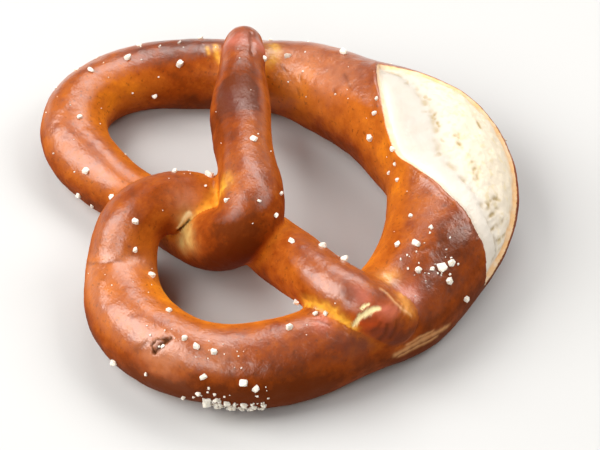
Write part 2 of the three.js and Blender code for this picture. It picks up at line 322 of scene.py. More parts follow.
def rope_rings(rope):
    """The points of the rope's cross-sections, ring by ring from tip to tip."""
    count = round(rope.length / RING_STEP)
    sections = rope.sections(np.linspace(0, rope.length, count + 1))
    angle = 2 * np.pi * np.arange(RING_SIDES) / RING_SIDES

    def ring(i, turned):
        """The ring of one section, turned towards the pole of a round end beyond it."""
        one = Sections(*(np.repeat(field[i : i + 1], RING_SIDES, axis=0) for field in sections))
        middle = one.middle + one.forward * one.radius[:, None] * math.sin(turned)
        size = abs(math.cos(turned))
        narrowed = one._replace(middle=middle, radius=one.radius * size)
        return outline(narrowed, angle, swell(one.along, angle) * size)

    turns = [0.5 * np.pi * step / (TIP_RINGS + 0.5) for step in range(1, TIP_RINGS + 1)]
    start = [ring(0, -turn) for turn in reversed(turns)]
    return start + [ring(i, 0) for i in range(count + 1)] + [ring(count, turn) for turn in turns]


def mesh_from(bm, name):
    """A new mesh from a bmesh, which is freed."""
    mesh = bpy.data.meshes.new(name)
    bm.to_mesh(mesh)
    bm.free()
    return mesh


def rope_mesh(rope):
    """One closed tube from tip to tip."""
    bm = bmesh.new()
    previous = None
    for points in rope_rings(rope):
        ring = bmesh.ops.create_circle(bm, cap_ends=False, segments=RING_SIDES, radius=1.0)["verts"]
        for vert in ring:
            place = round(math.atan2(vert.co.y, vert.co.x) / (2 * math.pi) * RING_SIDES) % RING_SIDES
            vert.co = Vector(points[place])
        edges = list({edge for vert in ring for edge in vert.link_edges})
        if previous is None:
            bmesh.ops.contextual_create(bm, geom=edges)
        else:
            bmesh.ops.bridge_loops(bm, edges=previous + edges)
        previous = edges
    bmesh.ops.contextual_create(bm, geom=previous)
    bmesh.ops.recalc_face_normals(bm, faces=bm.faces)
    return mesh_from(bm, "rope")


def fused(mesh, voxel):
    """The mesh as one even skin, with every crossing of the rope joined."""
    obj = bpy.data.objects.new("fusing", mesh)
    bpy.context.scene.collection.objects.link(obj)
    remesh = obj.modifiers.new("fuse", "REMESH")
    remesh.mode = "VOXEL"
    remesh.voxel_size = voxel
    whole = bpy.data.meshes.new_from_object(obj.evaluated_get(bpy.context.evaluated_depsgraph_get()))
    bpy.data.objects.remove(obj)
    return whole


def even_out(bm, verts, rounds):
    for _ in range(rounds):
        bmesh.ops.smooth_vert(
            bm, verts=verts, factor=0.5, use_axis_x=True, use_axis_y=True, use_axis_z=True
        )


def tree_of(points):
    """The points, arranged to be found by their place."""
    tree = kdtree.KDTree(len(points))
    for i, point in enumerate(points):
        tree.insert(Vector(point), i)
    tree.balance()
    return tree


def smooth_skin(mesh, rope):
    """Evens the skin out, melts strands together, and divides the skin where details are finest."""
    bm = bmesh.new()
    bm.from_mesh(mesh)
    bm.verts.ensure_lookup_table()
    even_out(bm, bm.verts, EVENING_ROUNDS)
    tree = tree_of([vert.co for vert in bm.verts])
    for along, degrees, reach, rounds in MELTED:
        place = Vector(surface(rope, along, degrees))
        for share in MELTING_SHARES:
            found = [bm.verts[i] for _, i, _ in tree.find_range(place, reach * share)]
            even_out(bm, found, rounds)
    fine = set()
    for place in fine_places(rope):
        fine.update(i for _, i, _ in tree.find_range(Vector(place), FINE_REACH))
    edges = [edge for edge in bm.edges if edge.verts[0].index in fine and edge.verts[1].index in fine]
    bmesh.ops.subdivide_edges(bm, edges=edges, cuts=1, use_grid_fill=True)
    bm.normal_update()
    bm.to_mesh(mesh)
    bm.free()


def fine_places(rope):
    """Points all over the split, and along every mark in the dough."""
    points = []
    for along in split_along(np.linspace(0, 1, SPLIT_STEPS)):
        outer, span = split_edges(along)
        angles = np.radians(np.linspace(outer, outer + span, SPAN_STEPS))
        sections = rope.sections(np.full(SPAN_STEPS, along))
        points.extend(outline(sections, angles, np.zeros(SPAN_STEPS)))
    for _, _, places in sum(STROKES.values(), ()):
        for (along, degrees), (to_along, to_degrees) in zip(places, places[1:]):
            steps = np.linspace(0, 1, STROKE_STEPS)
            sections = rope.sections(along + (to_along - along) * steps)
            angles = np.radians(degrees + (to_degrees - degrees) * steps)
            points.extend(outline(sections, angles, np.zeros(STROKE_STEPS)))
    return points


def rows_of(items, name):
    """A property of three numbers of every item, a row for each."""
    values = np.empty(len(items) * 3)
    items.foreach_get(name, values)
    return values.reshape(-1, 3)


class Skin:
    """Where each vertex of the dough lies on the rope, and how the other strands shelter it."""

    def __init__(self, mesh, rope):
        self.points = rows_of(mesh.vertices, "co")
        self.normals = rows_of(mesh.vertex_normals, "vector")
        count = len(self.points)
        core = rope.sections(np.arange(0, rope.length + SAMPLE_STEP / 2, SAMPLE_STEP))
        self.along, self.angle, self.gap, self.shelter = (np.empty(count) for _ in range(4))
        for start in range(0, count, BATCH):
            self._place(slice(start, min(start + BATCH, count)), core)
        self.angle = np.mod(self.angle + np.pi / 2, 2 * np.pi) - np.pi / 2
        self.radius = rope.radius(np.clip(self.along, 0, rope.length))
        self.arc = self.angle * self.radius

    def _place(self, part, core):
        toward = core.middle[None] - self.points[part][:, None, :]
        distance = np.linalg.norm(toward, axis=2)
        apart = distance - core.radius[None]
        own = np.argmin(apart, axis=1)
        offset = self.points[part] - core.middle[own]
        self.along[part] = core.along[own] + np.einsum("ij,ij->i", offset, core.forward[own])
        self.angle[part] = np.arctan2(
            np.einsum("ij,ij->i", offset, core.top[own]), np.einsum("ij,ij->i", offset, core.side[own])
        )
        near = np.abs(core.along[None] - core.along[own][:, None]) < STRANDS_APART
        self.gap[part] = np.where(near, FAR_AWAY, apart).min(axis=1)
        facing = np.einsum("ijk,ik->ij", toward, self.normals[part]) / distance
        seen = np.maximum(facing, 0) * core.radius[None] / np.maximum(distance, NEAREST) ** 2
        self.shelter[part] = np.where(near, 0.0, seen).sum(axis=1) * SAMPLE_STEP / 2

    def noise(self, size, octaves=1, shift=0.0, places=None):
        """Smooth noise, about -1 to 1, with features of this size in millimetres."""
        places = (self.points if places is None else places) / size + shift
        if octaves == 1:
            return np.array([noise.noise(Vector(place)) for place in places])
        return np.array([noise.fractal(Vector(place), 1.0, 2.0, octaves) for place in places])

    def layers(self, rows):
        """Layers of smooth noise added up: amount, size, octaves and shift."""
        return sum(amount * self.noise(size, octaves, shift) for amount, size, octaves, shift in rows)

    def stroke(self, places):
        """Distance of each vertex along the skin to a line through these places, near the line."""
        nearest = np.full(len(self.along), FAR_AWAY)
        for (along, degrees), (to_along, to_degrees) in zip(places, places[1:]):
            close = np.flatnonzero(np.abs(self.along - (along + to_along) / 2) < STROKE_REACH)
            run = to_along - along
            radius = self.radius[close]
            rise = np.radians(to_degrees - degrees) * radius
            past = self.along[close] - along
            above = self.arc[close] - np.radians(degrees) * radius
            share = np.clip((past * run + above * rise) / (run * run + rise * rise + 1e-9), 0, 1)
            reach = np.hypot(past - share * run, above - share * rise)
            nearest[close] = np.minimum(nearest[close], reach)
        return nearest


def outline_distance(x, y, corners):
    """Distance of each point to a closed outline, positive inside it."""
    nearest = np.full(len(x), 1e9)
    inside = np.zeros(len(x), bool)
    for (ax, ay), (bx, by) in zip(corners, np.roll(corners, -1, axis=0)):
        dx, dy = bx - ax, by - ay
        reach = dx * dx + dy * dy
        if reach < 1e-12:
            continue
        share = np.clip(((x - ax) * dx + (y - ay) * dy) / reach, 0, 1)
        nearest = np.minimum(nearest, np.hypot(x - ax - share * dx, y - ay - share * dy))
        crosses = (ay > y) != (by > y)
        with np.errstate(divide="ignore", invalid="ignore"):
            inside ^= crosses & (x < (bx - ax) * (y - ay) / (by - ay) + ax)
    return np.where(inside, nearest, -nearest)


def split_distance(skin, rope):
    """How far each vertex is inside the split, in millimetres, and how far across it, 0 to 1."""
    along = split_along(np.linspace(0, 1, EDGE_POINTS))
    outer, span = split_edges(along)
    radius = rope.radius(along)
    outer_edge = np.column_stack((along, np.radians(outer) * radius))
    inner_edge = np.column_stack((along, np.radians(outer + span) * radius))
    corners = np.vstack((outer_edge, inner_edge[::-1]))
    near = np.abs(skin.along - BELLY_AT) < SPLIT_REACH
    inside = np.full(len(skin.arc), -FAR_AWAY)
    inside[near] = outline_distance(skin.along[near], skin.arc[near], corners)
    outer, span = split_edges(skin.along)
    across = (np.degrees(skin.angle) - outer) / np.maximum(span, 1)
    return inside, np.clip(across, 0, 1)


# Marks in the dough: width and depth in millimetres, and the places each runs through.
STROKES = {
    # Golden creases: at the near tip, where the arms touch, and beside the far tip.
    "gold": (
        (2.8, 0.5, ((27, 184), (22.5, 171), (18.7, 165), (16.1, 165), (13.8, 172), (11.4, 182))),
        (4.4, 0.2, ((566, 172), (567, 158), (568, 146))), (4.2, 0.2, ((88, 112), (89.5, 128), (93, 152))),
        (1.6, 0.05, ((403.2, 80), (402.4, 98.6), (401.6, 112))), (1.3, 0.05, ((405.8, 84), (405.2, 96))),
        (3.4, 0.05, ((384.4, 76), (382.9, 92), (382.4, 104), (383.5, 112))),
    ),
    # Pale lines: a ridge by the near tip, and the crackled band at the belly's foot.
    "line": (
        (0.9, -0.15, ((8.9, 65), (6.8, 67.5), (4.4, 80), (-0.3, 94), (-3.7, 95))),
        (1.6, 0.15, ((237, -1.3), (241, 1.6), (243.8, 3.5), (246.5, 1.4), (249.4, -2.9), (251.7, -6))),
        (1.0, 0.2, ((238, -8), (243, -4), (248.5, -9))), (0.8, 0.2, ((240.5, 7), (244, 9), (247.5, 5))),
    ),
    # Folds: on the near loop, both tips, both shoulders and the belly.
    "fold": (
        (2.6, 0.25, ((171.8, 49), (172, 58), (173.4, 67))),
        (1.6, 0.12, ((130.7, 20), (135.2, 62), (136.2, 88))), (1.4, 0.18, ((167.2, 34), (169.1, 52))),
        (1.1, 0.3, ((6, 178), (5.1, 165), (5, 148.8))),
        (1.1, 0.35, ((2.9, 196), (2.3, 175.7), (3, 148.8))),
        (1.1, 0.3, ((-0.5, 185.7), (-0.7, 157.9), (0.4, 129.6))),
        (0.9, 0.2, ((217, 98), (219.5, 90), (221.5, 79))), (0.9, 0.2, ((407, 80), (405.8, 104))),
        (1.1, 0.3, ((640, 64), (634, 66), (627, 63))), (1.0, 0.2, ((353, 106), (350, 111), (347.4, 118))),
        (1.0, 0.2, ((353, 128), (351.4, 132))), (1.0, 0.2, ((370, 126), (369, 133))),
        (0.9, 0.2, ((368.8, 147), (367.6, 153))), (0.9, 0.2, ((379, 118), (376, 126))),
        (1.2, 0.3, ((274.4, 57), (272.8, 46))), (1.3, 0.25, ((265.8, 70), (264.4, 73))),
        (1.2, 0.25, ((260.9, 81), (259.8, 84))),
    ),
    # Scratches in the crumb.
    "score": (
        (1.8, 0.5, ((312.9, 96.6), (312.2, 97))), (0.9, 0.2, ((312, 97), (307, 98))),
        (2.0, 0.5, ((302.7, 86.4), (302, 86.3))), (1.3, 0.3, ((302, 86.3), (300.2, 85.8), (297.6, 84))),
        (1.1, 0.25, ((305.5, 61), (307.8, 59.7))), (1.9, 0.25, ((292.6, 71.6), (288.6, 67.5))),
        (1.9, 0.4, ((282.1, 49.4), (285.6, 42.9))), (1.5, 0.4, ((280.5, 42), (283.4, 38.6))),
        (1.3, 0.3, ((278.1, 32.3), (281.7, 27.3))), (1.0, 0.25, ((277.3, 21), (280.8, 13.3))),
        (0.9, 0.2, ((276.9, 8), (280.9, 2.4))),
    ),
    # Cracks: one that branches on the near loop, and one at the twist.
    "crack": (
        (1.0, 0.5, ((171.9, 44), (172.6, 57), (173.6, 66), (174.4, 72))),
        (0.55, 0.35, ((171.9, 44), (170.4, 52), (171, 62), (174.4, 72))),
        (1.2, 0.5, ((100.4, 201), (98.7, 188), (98, 180), (97.3, 172))),
    ),
    # Pale torn skin: at the near tip and over the crack at the twist.
    "tear": (
        (0.9, 0.35, ((10.5, 177), (10.2, 162), (9.7, 149.3))),
        (1.3, 0.4, ((9.7, 149.3), (8.8, 135.3), (8, 123), (7.3, 117))),
        (0.6, 0.2, ((10.4, 134), (10, 124), (9.4, 117))),
        (1.1, -0.1, ((101.2, 189), (100.3, 180), (99.4, 172))),
        (1.7, -0.15, ((99.4, 172), (98.6, 165), (97.6, 160))),
    ),
}

# The kinds with soft sides and how soft they are, where the sides of the others start and end,
# and how much the sides waver, all as shares of a stroke's width.
SOFT_STROKES = ("gold", "line", "fold", "score")
SOFTNESS = 0.6
SHARPNESS = (0.15, 0.85)
SHIVER = 0.25

# How much each kind breaks up along its way, and its share and colour in the crust.
UNEVEN_STROKES = {"score": 1.0, "gold": 0.55}
# The folds and cracks are coloured dark: painted shade in their grooves.
STROKE_COLOURS = {
    "gold": (0.85, (252, 186, 62)), "line": (0.6, (236, 176, 116)), "fold": (0.45, (100, 40, 12)),
    "crack": (0.9, (52, 22, 8)), "tear": (1.0, (252, 232, 172)),
}

# Patches of other colours where the dough tore, puffed up and browned, and patches of painted highlight
# and painted shade: a colour and its share, then for each patch its place along the rope, its angle and
# its reach.
TINTS = {
    "ember": ((212, 78, 26), 0.8, ((6.8, 159.8, 4.2),)),
    # Pink: partly the crust's own tone and partly a painted highlight, the sheen of light on the brown.
    "rose_and_sheen": ((206, 112, 90), 0.8, (
        (4.8, 112.5, 3.4), (12.1, 109, 3.0), (246, 61, 4.0), (633, 40, 3.4), (635, 110, 4.4),
        (220.5, 88, 3.2),
    )),
    # A painted sheen: pale pink where the crust would catch the light.
    "painted_sheen": ((208, 140, 106), 0.4, (
        (356, 112, 9), (372, 112, 9), (174, 41, 6), (168, 51, 3), (188, 66, 5), (135, 112, 8),
        (98, 134, 5),
    )),
    # Purple-brown: partly the crust's own dark tone and partly painted shade where the near tip's end
    # meets the belly.
    "dusk_and_shade": ((102, 46, 36), 0.8, (
        (1.1, 169.5, 4.6), (-1.0, 134.8, 2.0), (3.0, 187, 3.0), (-1.7, 190, 3.6), (14.7, 118, 2.6),
        (8.5, 148, 2.0), (226.4, 39, 5.0), (602, 98, 5.0), (605, 106, 4.0), (5, 177, 3.0),
        (2.6, 164, 3.2),
    )),
    "gilt": ((240, 158, 64), 0.8, (
        (1.2, 53, 2.6), (-1.3, 66, 2.6), (-2.6, 80, 2.4), (246.3, 94.6, 3.4),
    )),
    "pale": ((240, 212, 130), 0.8, ((98.5, 172, 3.0), (538.8, 34, 3.8), (536.4, 19, 3.1))),
}

# Where the far tip flared against the loop: along the rope, angle, reach and rise.
FLARES = ((632, 34, 4.4, 1.5), (633, 142, 4.6, 0.8))

# Blisters: along the rope, angle and reach. The rest of this many are scattered over the top,
# up to so many degrees to each side, with a reach and a rise for each of its millimetres.
BLISTERS = ((198.4, 57.5, 2.8), (179.7, 48, 2.2))
BLISTER_COUNT = 120
BLISTER_SEED = 11
BLISTER_SPREAD = 110
BLISTER_REACH = (0.9, 2.6)
BLISTER_RISE = (0.054, 0.126)

# Patches painted darker, or lighter where below nought: along the rope, angle, reach and amount. Most are
# painted shade where a strand lay in shadow, or painted light where one caught the light; a few are where
# the oven baked it darker.
BAKE_SHADE_AND_LIGHT = (
    (632, 90, 14, 0.08), (-2, 150, 9, 0.12), (150, 60, 30, -0.12), (138, 50, 12, -0.12),
    (592, 140, 15, 0.42), (345, 172, 22, 0.20), (549, -6, 16, 0.30), (540, 20, 8, -0.10),
    (180, 8, 24, 0.20), (209.5, 35, 14, 0.20), (44, 150, 16, 0.14), (34, 172, 9, -0.16),
    (266, 64, 9, 0.25), (617, 98, 9, 0.28), (263, 127, 10, 0.15), (250, 46, 13, 0.25),
    (105, 112, 14, 0.15), (415, 144, 20, 0.35), (136, 120, 14, 0.26), (588, 92, 11, -0.20),
    (184, 66, 9, -0.12), (172, 44, 10, -0.15), (555, 55, 10, 0.15),
)

# The darkest band, over the far arm's top: its two ends along the rope, each with how far it
# fades, its middle angle, and how far from that it fades.
BAND_ENDS = ((598.9, 600.1), (609, 618))
BAND_ANGLE = 96
BAND_FADE = (26, 62)
BAND_BAKE = 0.4

# Patches that shine more, or less where below nought: along, angle, reach and amount.
SHINE = (
    (593, 142, 14, -0.85), (616, 96, 9, -0.8), (345, 172, 20, -0.85), (549, -6, 16, -0.85),
    (554, 55, 9, -0.8), (540, 10, 10, -0.9), (98, 134, 8, -0.5), (105, 113, 12, -0.9),
    (1, 125, 9, -0.85), (9, 92, 6, -0.7), (42, 150, 14, -0.85), (258, 125, 10, -0.85),
    (266, 64, 8, -0.6), (179, 5, 20, -0.85), (356, 119, 12, 0.5), (20, 115, 9, 0.5),
    (33, 87, 10, 0.3), (170, 45, 16, 0.6), (136, 118, 10, 0.5), (184, 68, 10, 0.4),
    (277, 102, 10, 0.4), (593, 74, 10, 0.3), (370, 116, 14, 0.6), (388, 112, 12, 0.5),
    (342, 112, 10, 0.5),
)

# Where one strand melted into another: along the rope, angle, reach and rounds of smoothing,
# which are repeated on these shares of the reach.
MELTED = ((-3, 80, 10, 14), (5, 30, 9, 12), (-4, 160, 8, 12), (14, 5, 8, 8), (24, 184, 5, 4))
MELTING_SHARES = (1.0, 0.75, 0.5)
NEAR_TIP_TOP = (-2, 100, 15)

# The seam of the split: share of the split's length, and share of its span.
SEAM = (
    (0, 0.1), (0.08, 0.19), (0.094, 0.335), (0.11, 0.467), (0.143, 0.58), (0.19, 0.6), (0.22, 0.66),
    (0.255, 0.7), (0.293, 0.725), (0.361, 0.737), (0.462, 0.67), (0.578, 0.576), (0.673, 0.545),
    (0.778, 0.476), (0.889, 0.36), (1, 0.3),
)

# Layers of noise: amount, size in millimetres, octaves, and a shift that sets it apart.
CRUST_RELIEF = ((0.45, 24, 2, 5.0), (0.16, 7, 2, 2.0), (0.05, 2, 2, 12.0))
RAGGED_EDGE = ((0.12, 1.8, 1, 3.1), (0.4, 9, 1, 8.7))
BAKE_CLOUDS = ((0.12, 19, 2, 4.0), (0.05, 6, 2, 14.0))

# The crumb, in millimetres: how far it lies under the crust at the split's edge and how much
# more under the inner lip, how far it rises to its middle, its seam, pits and torn fibres. Then
# the rise of the crust's inner lip, and of its wrinkles.
CRUMB_DEPTH = 1.1
LIP_DROP = 1.1
CRUMB_RISE = 0.7
SEAM_DEPTH = 0.6
GROOVE_DEPTH = 0.5
FIBRE_WIDTH = 2.2
FIBRE_LENGTH = 6.0
LIP_RISE = 0.5
WRINKLE = 0.07

Split = namedtuple("Split", "edge across lengthwise seam floury")


def blisters(skin, rope):
    """The rise of the small round blisters that the lye and the heat raised."""
    tree = tree_of(skin.points)
    draws = draws_from(BLISTER_SEED)
    places = list(BLISTERS)
    while len(places) < BLISTER_COUNT:
        along = rope.length * next(draws)
        degrees = 90 + BLISTER_SPREAD * (next(draws) + next(draws) - 1)
        reach = between(BLISTER_REACH, next(draws) ** 2)
        if not in_split(along, degrees):
            places.append((along, degrees, reach))
    rise = np.zeros(len(skin.points))
    for along, degrees, reach in places:
        height = reach * between(BLISTER_RISE, next(draws))
        for _, i, distance in tree.find_range(Vector(surface(rope, along, degrees)), reach):
            rise[i] = max(rise[i], height * (1 - (distance / reach) ** 2))
    return rise


def patches(skin, places):
    """How strongly each vertex lies in any of these patches: along, angle and reach."""
    strength = np.zeros(len(skin.along))
    for along, degrees, reach in places:
        turn = np.abs(np.mod(np.degrees(skin.angle) - degrees + 180, 360) - 180)
        away = np.hypot(skin.along - along, np.radians(turn) * skin.radius)
        strength = np.maximum(strength, bump(away, 0, reach))
    return strength


def add_patches(values, skin, rows):
    """Adds to the values in each patch: along, angle, reach and amount."""
    for *place, amount in rows:
        values += amount * patches(skin, (place,))


def find_split(skin, rope):
    """Each vertex's place in the split.

    That is how far it is inside the ragged edge and past the seam, in millimetres, how far
    across and along the split, 0 to 1, and how much painted light brightens the crumb there.
    """
    inside, across = split_distance(skin, rope)
    lengthwise = split_share(skin.along)
    shares, places = np.array(SEAM).T
    seam_place = np.interp(lengthwise, shares, places) + 0.02 * skin.noise(4.0, shift=1.3)
    _, span = split_edges(skin.along)
    seam = (across - seam_place) * np.radians(span) * skin.radius
    # Painted light: the crumb by the inner lip and at the near end is brightened.
    floury = np.maximum(smooth_step(0.72, 1.0, across), 1 - smooth_step(0.05, 0.35, lengthwise))
    return Split(inside + skin.layers(RAGGED_EDGE), across, lengthwise, seam, floury)


def crumb_floor(skin, split, lip):
    """How far the pale crumb lies below the crust, and its grooves."""
    torn = np.column_stack((skin.along / FIBRE_WIDTH, skin.arc / FIBRE_LENGTH, 0 * skin.arc))
    fibres = skin.noise(1.0, octaves=2, places=torn)
    broken = smooth_step(-0.35, 0.35, skin.noise(3.2, shift=11.0))
    pits = 0.6 * smooth_step(0.40, 0.62, skin.noise(2.3, shift=21.0)) * bump(split.seam, -0.6, 2.4)
    groove = np.maximum(0.6 * bump(split.seam, 0, 0.9) * broken, pits)
    rough = 0.35 + 0.65 * smooth_step(2.0, -2.0, split.seam)
    floor = CRUMB_RISE * smooth_step(0, 7, split.edge) - SEAM_DEPTH * bump(split.seam, 0, 2.0)
    floor -= CRUMB_DEPTH + LIP_DROP * lip * split.across**5
    floor += rough * (0.16 * fibres + 0.12 * skin.noise(1.1, octaves=2, shift=16.0))
    floor += (0.15 + 0.3 * rough) * skin.noise(4.5, octaves=2, shift=6.0)
    return floor - GROOVE_DEPTH * groove, groove


def crust_height(skin, rope):
    """The crust's swellings, its blisters and the flare of the far tip."""
    height = skin.layers(CRUST_RELIEF)
    height += blisters(skin, rope)
    add_patches(height, skin, FLARES)
    return height


def sheltered(skin, rope):
    """How tightly each vertex is held in a crease, and how sheltered it was from the heat."""
    melted = np.zeros(len(skin.points))
    for along, degrees, reach, _ in MELTED:
        away = np.linalg.norm(skin.points - surface(rope, along, degrees), axis=1)
        melted = np.maximum(melted, bump(away, 0, reach))
    along, degrees, reach = NEAR_TIP_TOP
    tip = bump(np.linalg.norm(skin.points - surface(rope, along, degrees), axis=1), 0, reach)
    tight = (1 - smooth_step(0.0, 4.0, skin.gap)) * (1 - np.maximum(0.9 * melted, tip))
    return tight, skin.shelter * (1 - np.maximum(0.7 * melted, tip))


def wrinkles(skin, tight):
    """Small wrinkles in the creases and on the near tip."""
    upward = smooth_step(-0.2, 0.6, skin.normals[:, 2])
    wrinkled = np.maximum(tight, bump(skin.along, -1, 9) * upward)
    return WRINKLE * wrinkled * np.sin(2.9 * skin.along + 4.0 * skin.noise(5.0, shift=9.0))


def press_marks(skin, height):
    """Presses every stroke into the height, and returns how strongly each kind marks the skin."""
    marks = {}
    shiver = skin.noise(1.6, shift=7.7)
    broken = 0.25 + 0.75 * smooth_step(-0.3, 0.3, skin.noise(1.5, shift=27.0))
    for kind, strokes in STROKES.items():
        marks[kind] = np.zeros(len(height))
        for width, depth, places in strokes:
            distance = skin.stroke(places) + SHIVER * width * shiver
            if kind in SOFT_STROKES:
                mark = bump(np.maximum(distance, 0), 0, SOFTNESS * width)
                mark *= 1 - UNEVEN_STROKES.get(kind, 0) * (1 - broken)
            else:
                mark = 1 - smooth_step(SHARPNESS[0] * width, SHARPNESS[1] * width, distance)
            height -= depth * mark
            marks[kind] = np.maximum(marks[kind], mark)
    return marks


def browning_and_shade(skin, tight, shelter):
    """How dark each vertex is painted: browned more on top, with painted shade on its lower sides and in
    patches, painted light in others, and paler in the creases.
    """
    upward = skin.normals[:, 2]
    # Facing down makes it darkest: painted shade where the lamps light the rope least.
    bake_and_shade = 0.46 + 0.22 * smooth_step(0.2, 0.95, upward) + 0.50 * smooth_step(0.9, -0.2, upward)
    bake_and_shade += skin.layers(BAKE_CLOUDS)
    bake_and_shade -= 0.6 * shelter + 0.35 * tight
    add_patches(bake_and_shade, skin, BAKE_SHADE_AND_LIGHT)
    ragged = skin.along + 1.2 * skin.noise(6.0, shift=31.0)
    over = 1 - smooth_step(*BAND_FADE, np.abs(np.degrees(skin.angle) - BAND_ANGLE))
    start, end = BAND_ENDS
    bake_and_shade += BAND_BAKE * over * smooth_step(*start, ragged) * (1 - smooth_step(*end, ragged))
    return bake_and_shade


def shine(skin, tight, marks):
    """How much each vertex shines: where it faces the open sky, and not in cracks and tears."""
    open_sky = 1 - smooth_step(0.05, 0.3, skin.shelter)
    gloss = smooth_step(0.3, 0.88, skin.normals[:, 2]) * open_sky * (1 - tight)
    add_patches(gloss, skin, SHINE)
    return np.clip(gloss, 0, 1.4) * (1 - np.maximum(marks["crack"], marks["tear"]))


def shape_dough(mesh, rope):
    """Moves the skin into its creases, swellings and split, and notes what the colours need."""
    skin = Skin(mesh, rope)
    split = find_split(skin, rope)
    tight, shelter = sheltered(skin, rope)
    crumb = smooth_step(-0.1, 0.7, split.edge)
    lip = smooth_step(0.35, 0.9, split.across) * smooth_step(0.02, 0.15, split.lengthwise)
    crust = crust_height(skin, rope) + LIP_RISE * lip * bump(split.edge, -0.9, 1.2)
    floor, groove = crumb_floor(skin, split, lip)
    height = (crust + wrinkles(skin, tight)) * (1 - crumb) + floor * crumb
    marks = press_marks(skin, height)

    lifted = smooth_step(0.0, 2.5, skin.points[:, 2])
    moved = skin.points + skin.normals * (height * lifted)[:, None]
    moved[:, 2] = np.maximum(moved[:, 2], 0)
    mesh.vertices.foreach_set("co", (moved * MM).ravel())
    mesh.update()

    blotch = np.clip(1 + 0.6 * skin.noise(2.4, octaves=2, shift=41.0), 0, 1.3)
    tints = {name: np.clip(patches(skin, tint[2]) * blotch, 0, 1) for name, tint in TINTS.items()}
    values = {
        "split_mm": split.edge, "seam_mm": split.seam, "across": split.across, "groove": groove,
        "floury": split.floury, "bake_and_shade": browning_and_shade(skin, tight, shelter), "rise_mm": skin.points[:, 2],
        "gloss": shine(skin, tight, marks), **marks, **tints,
    }
    for name, value in values.items():
        layer = mesh.attributes.new(name, "FLOAT", "POINT")
        layer.data.foreach_set("value", value.astype(np.float32))


# ==== Salt ====


def grain_seat(rope, along, degrees, size):
    """Where a grain of this size sits, sunk a little into the swelling crust."""
    height = float(swell(along, math.radians(degrees))) + GRAIN_SINK * size
    return surface(rope, along, degrees, height)


def grain_places(rope):
    """Where the baked-in grains sit, and their sizes."""
    draws = draws_from(GRAIN_SEED)
    places = [(grain_seat(rope, *grain), grain[2]) for grain in GRAINS]
    for start, end, lowest, highest, count in SCATTER:
        wanted = len(places) + count
        while len(places) < wanted:
            along = between((start, end), next(draws))
            degrees = between((lowest, highest), next(draws))
            size = between(SCATTER_SIZE, next(draws) ** 1.5)
            seat = grain_seat(rope, along, degrees, size)
            if all(np.linalg.norm(seat - other) > SCATTER_GAP for other, _ in places):
                places.append((seat, size))
    return places


# Finer salt between the grains: from and to, the lowest and the highest angle, number, and the
# smallest and the largest size.
DUST = (
    (185, 200, -42, -4, 70, 0.6, 2.1),
    (182, 203, -12, 20, 14, 0.4, 1.2),
    (252, 268, 40, 100, 24, 0.4, 1.1),
    (168, 200, 45, 85, 14, 0.4, 0.9),
    (80, 104, 40, 110, 8, 0.4, 1.0),
    (0, 636, 25, 155, 90, 0.35, 0.8),
)

# A grain's length, its least and greatest width and height, how far its corners are cut off and
# its points knocked about, as shares of its size, and how fast the knocks change from place to
# place. Grains up to the fine size are left out where the dough's skin is further off.
GRAIN_LENGTH = 0.85
GRAIN_WIDTH = (0.6, 0.95)
GRAIN_HEIGHT = (0.45, 0.8)
GRAIN_BEVEL = 0.16
GRAIN_KNOCK = 0.2
KNOCK_CHANGE = 1.7
FINE_GRAIN = 1.4
SKIN_OFF = 0.9


def dust_places(rope):
    """Where the finer salt lies, and its sizes."""
    draws = draws_from(GRAIN_SEED + 2)
    places = []
    for start, end, lowest, highest, count, smallest, largest in DUST:
        for _ in range(count):
            along = between((start, end), next(draws))
            degrees = between((lowest, highest), next(draws))
            size = between((smallest, largest), next(draws) ** 2)
            if not in_split(along, degrees):
                places.append((surface(rope, along, degrees), size))
    return places


def add_crystal(bm, seat, size, draws):
    """A chunky grain: a box with its corners cut off and its points knocked about."""
    width = size * between(GRAIN_WIDTH, next(draws))
    height = size * between(GRAIN_HEIGHT, next(draws))
    turn = Matrix.Rotation(2 * math.pi * next(draws), 4, "X")
    turn = Matrix.Rotation(2 * math.pi * next(draws), 4, "Z") @ turn
    box = Matrix.Diagonal((GRAIN_LENGTH * size, width, height, 1))
    made = bmesh.ops.create_cube(bm, size=1.0, matrix=Matrix.Translation(seat) @ turn @ box)
    edges = list({edge for vert in made["verts"] for edge in vert.link_edges})
    bevelled = bmesh.ops.bevel(
        bm, geom=edges, offset=GRAIN_BEVEL * size, offset_type="OFFSET", segments=1, profile=0.5,
        affect="EDGES", material=-1,
    )
    for vert in {vert for face in bevelled["faces"] for vert in face.verts}:
        vert.co += noise.noise_vector(vert.co * KNOCK_CHANGE) * GRAIN_KNOCK * size


def salt_mesh(rope, dough):
    """Every grain, set on the dough's own skin."""
    draws = draws_from(GRAIN_SEED + 1)
    noise.seed_set(GRAIN_SEED)
    bm = bmesh.new()
    for place, size in grain_places(rope) + dust_places(rope):
        _, seat, normal, _ = dough.closest_point_on_mesh(Vector(place) * MM)
        if size > FINE_GRAIN or (seat / MM - Vector(place)).length < SKIN_OFF:
            add_crystal(bm, seat / MM + normal * GRAIN_SINK * size, size, draws)
    bmesh.ops.recalc_face_normals(bm, faces=bm.faces)
    bmesh.ops.scale(bm, vec=(MM, MM, MM), verts=bm.verts)
    return mesh_from(bm, "salt_grains")


# ==== Materials ====


# The crust's colour as it browns and as painted shade darkens it: how far it is baked or shaded, and its
# colour there.
BROWNING = (
    (0.00, (248, 178, 48)), (0.25, (226, 128, 20)), (0.50, (190, 98, 22)), (0.66, (168, 80, 16)),
    (0.80, (142, 57, 4)), (1.00, (98, 33, 2)),
)
FRECKLE = (84, 36, 8)
FOOT = (222, 156, 88)
CRUMB = (208, 203, 195)
CRUMB_SHADE = (204, 196, 181)
